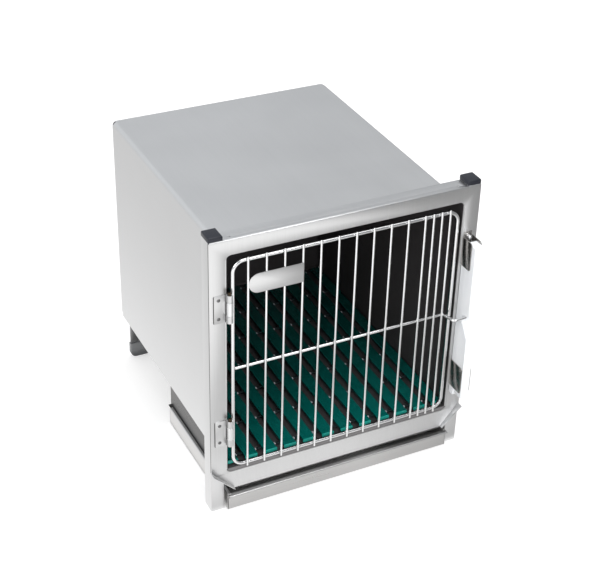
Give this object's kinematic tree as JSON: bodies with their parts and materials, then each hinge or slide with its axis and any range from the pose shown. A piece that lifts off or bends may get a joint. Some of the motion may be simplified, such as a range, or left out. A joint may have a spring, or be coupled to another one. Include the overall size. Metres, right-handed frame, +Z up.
{
  "type": "veterinary kennel cage",
  "caption": "Brushed steel kennel cage: a box with a swinging bar door, a lift-up slide latch, a slatted floor that lifts out and a drip tray that slides out below.",
  "frame": {"origin": "middle of the footprint's bounding box, on the floor", "axes": "+Z up; the door faces -Y; +X to the right of someone facing the door"},
  "size_m": [0.6, 0.685, 0.668],
  "materials": {
    "sheet_steel": "satin brushed stainless sheet with a fine straight grain",
    "wire_steel": "bright electropolished wire",
    "hinge_steel": "plain satin steel with a light sheen",
    "polished_steel": "mirror-polished stainless that shows dark reflections",
    "cap_plastic": "black moulded plastic with soft highlights",
    "shoe_plastic": "mid-grey moulded plastic",
    "latch_plastic": "smooth white sheet plastic",
    "board_plastic": "deep green moulded plastic with a soft shine and fine lengthwise ribs"
  },
  "bodies": {
    "cage": {"front_plate": "sheet_steel", "post_left": "sheet_steel", "post_right": "sheet_steel", "post_cap_left": "cap_plastic", "post_cap_right": "cap_plastic", "cabinet_wrapper": "sheet_steel", "cabinet_floor": "sheet_steel", "cabinet_back": "sheet_steel", "rear_leg_left": "sheet_steel", "rear_leg_right": "sheet_steel", "rear_shoe_left": "shoe_plastic", "rear_shoe_right": "shoe_plastic", "tray_runner_left": "polished_steel", "tray_runner_right": "polished_steel", "hinge_leaf_upper": "hinge_steel", "hinge_pin_upper": "hinge_steel", "hinge_leaf_lower": "hinge_steel", "hinge_pin_lower": "hinge_steel", "hinge_screw_upper_top": "hinge_steel", "hinge_screw_upper_bottom": "hinge_steel", "hinge_screw_lower_top": "hinge_steel", "hinge_screw_lower_bottom": "hinge_steel", "latch_guide_upper": "polished_steel", "latch_guide_lower": "polished_steel", "latch_rest_pin": "polished_steel", "latch_stop_screw": "polished_steel"},
    "door": {"door_frame": "wire_steel", "door_bar_01": "wire_steel", "door_bar_02": "wire_steel", "door_bar_03": "wire_steel", "door_bar_04": "wire_steel", "door_bar_05": "wire_steel", "door_bar_06": "wire_steel", "door_bar_07": "wire_steel", "door_bar_08": "wire_steel", "door_bar_09": "wire_steel", "door_bar_10": "wire_steel", "door_bar_11": "wire_steel", "door_bar_12": "wire_steel", "door_bar_13": "wire_steel", "door_bar_14": "wire_steel", "door_crossbar": "wire_steel", "door_card": "sheet_steel", "hinge_barrel_upper": "hinge_steel", "hinge_barrel_lower": "hinge_steel"},
    "latch": {"latch_slide": "latch_plastic"},
    "tray": {"tray_pan": "sheet_steel"},
    "board": {"duckboard": "board_plastic"}
  },
  "joints": [
    {"name": "door_swing", "type": "hinge", "parent": "cage", "child": "door", "pos_m": [-0.2595, -0.30025, 0.354], "axis": [0, 0, -1], "range_deg": [0, 175]},
    {"name": "latch_lift", "type": "slide", "parent": "cage", "child": "latch", "axis": [0, 0, 1], "range_m": [0, 0.013]},
    {"name": "tray_slide", "type": "slide", "parent": "cage", "child": "tray", "axis": [0, -1, 0], "range_m": [0, 0.29]},
    {"name": "board_lift", "type": "slide", "parent": "cage", "child": "board", "axis": [0, 0, 1], "range_m": [0, 0.03]}
  ]
}
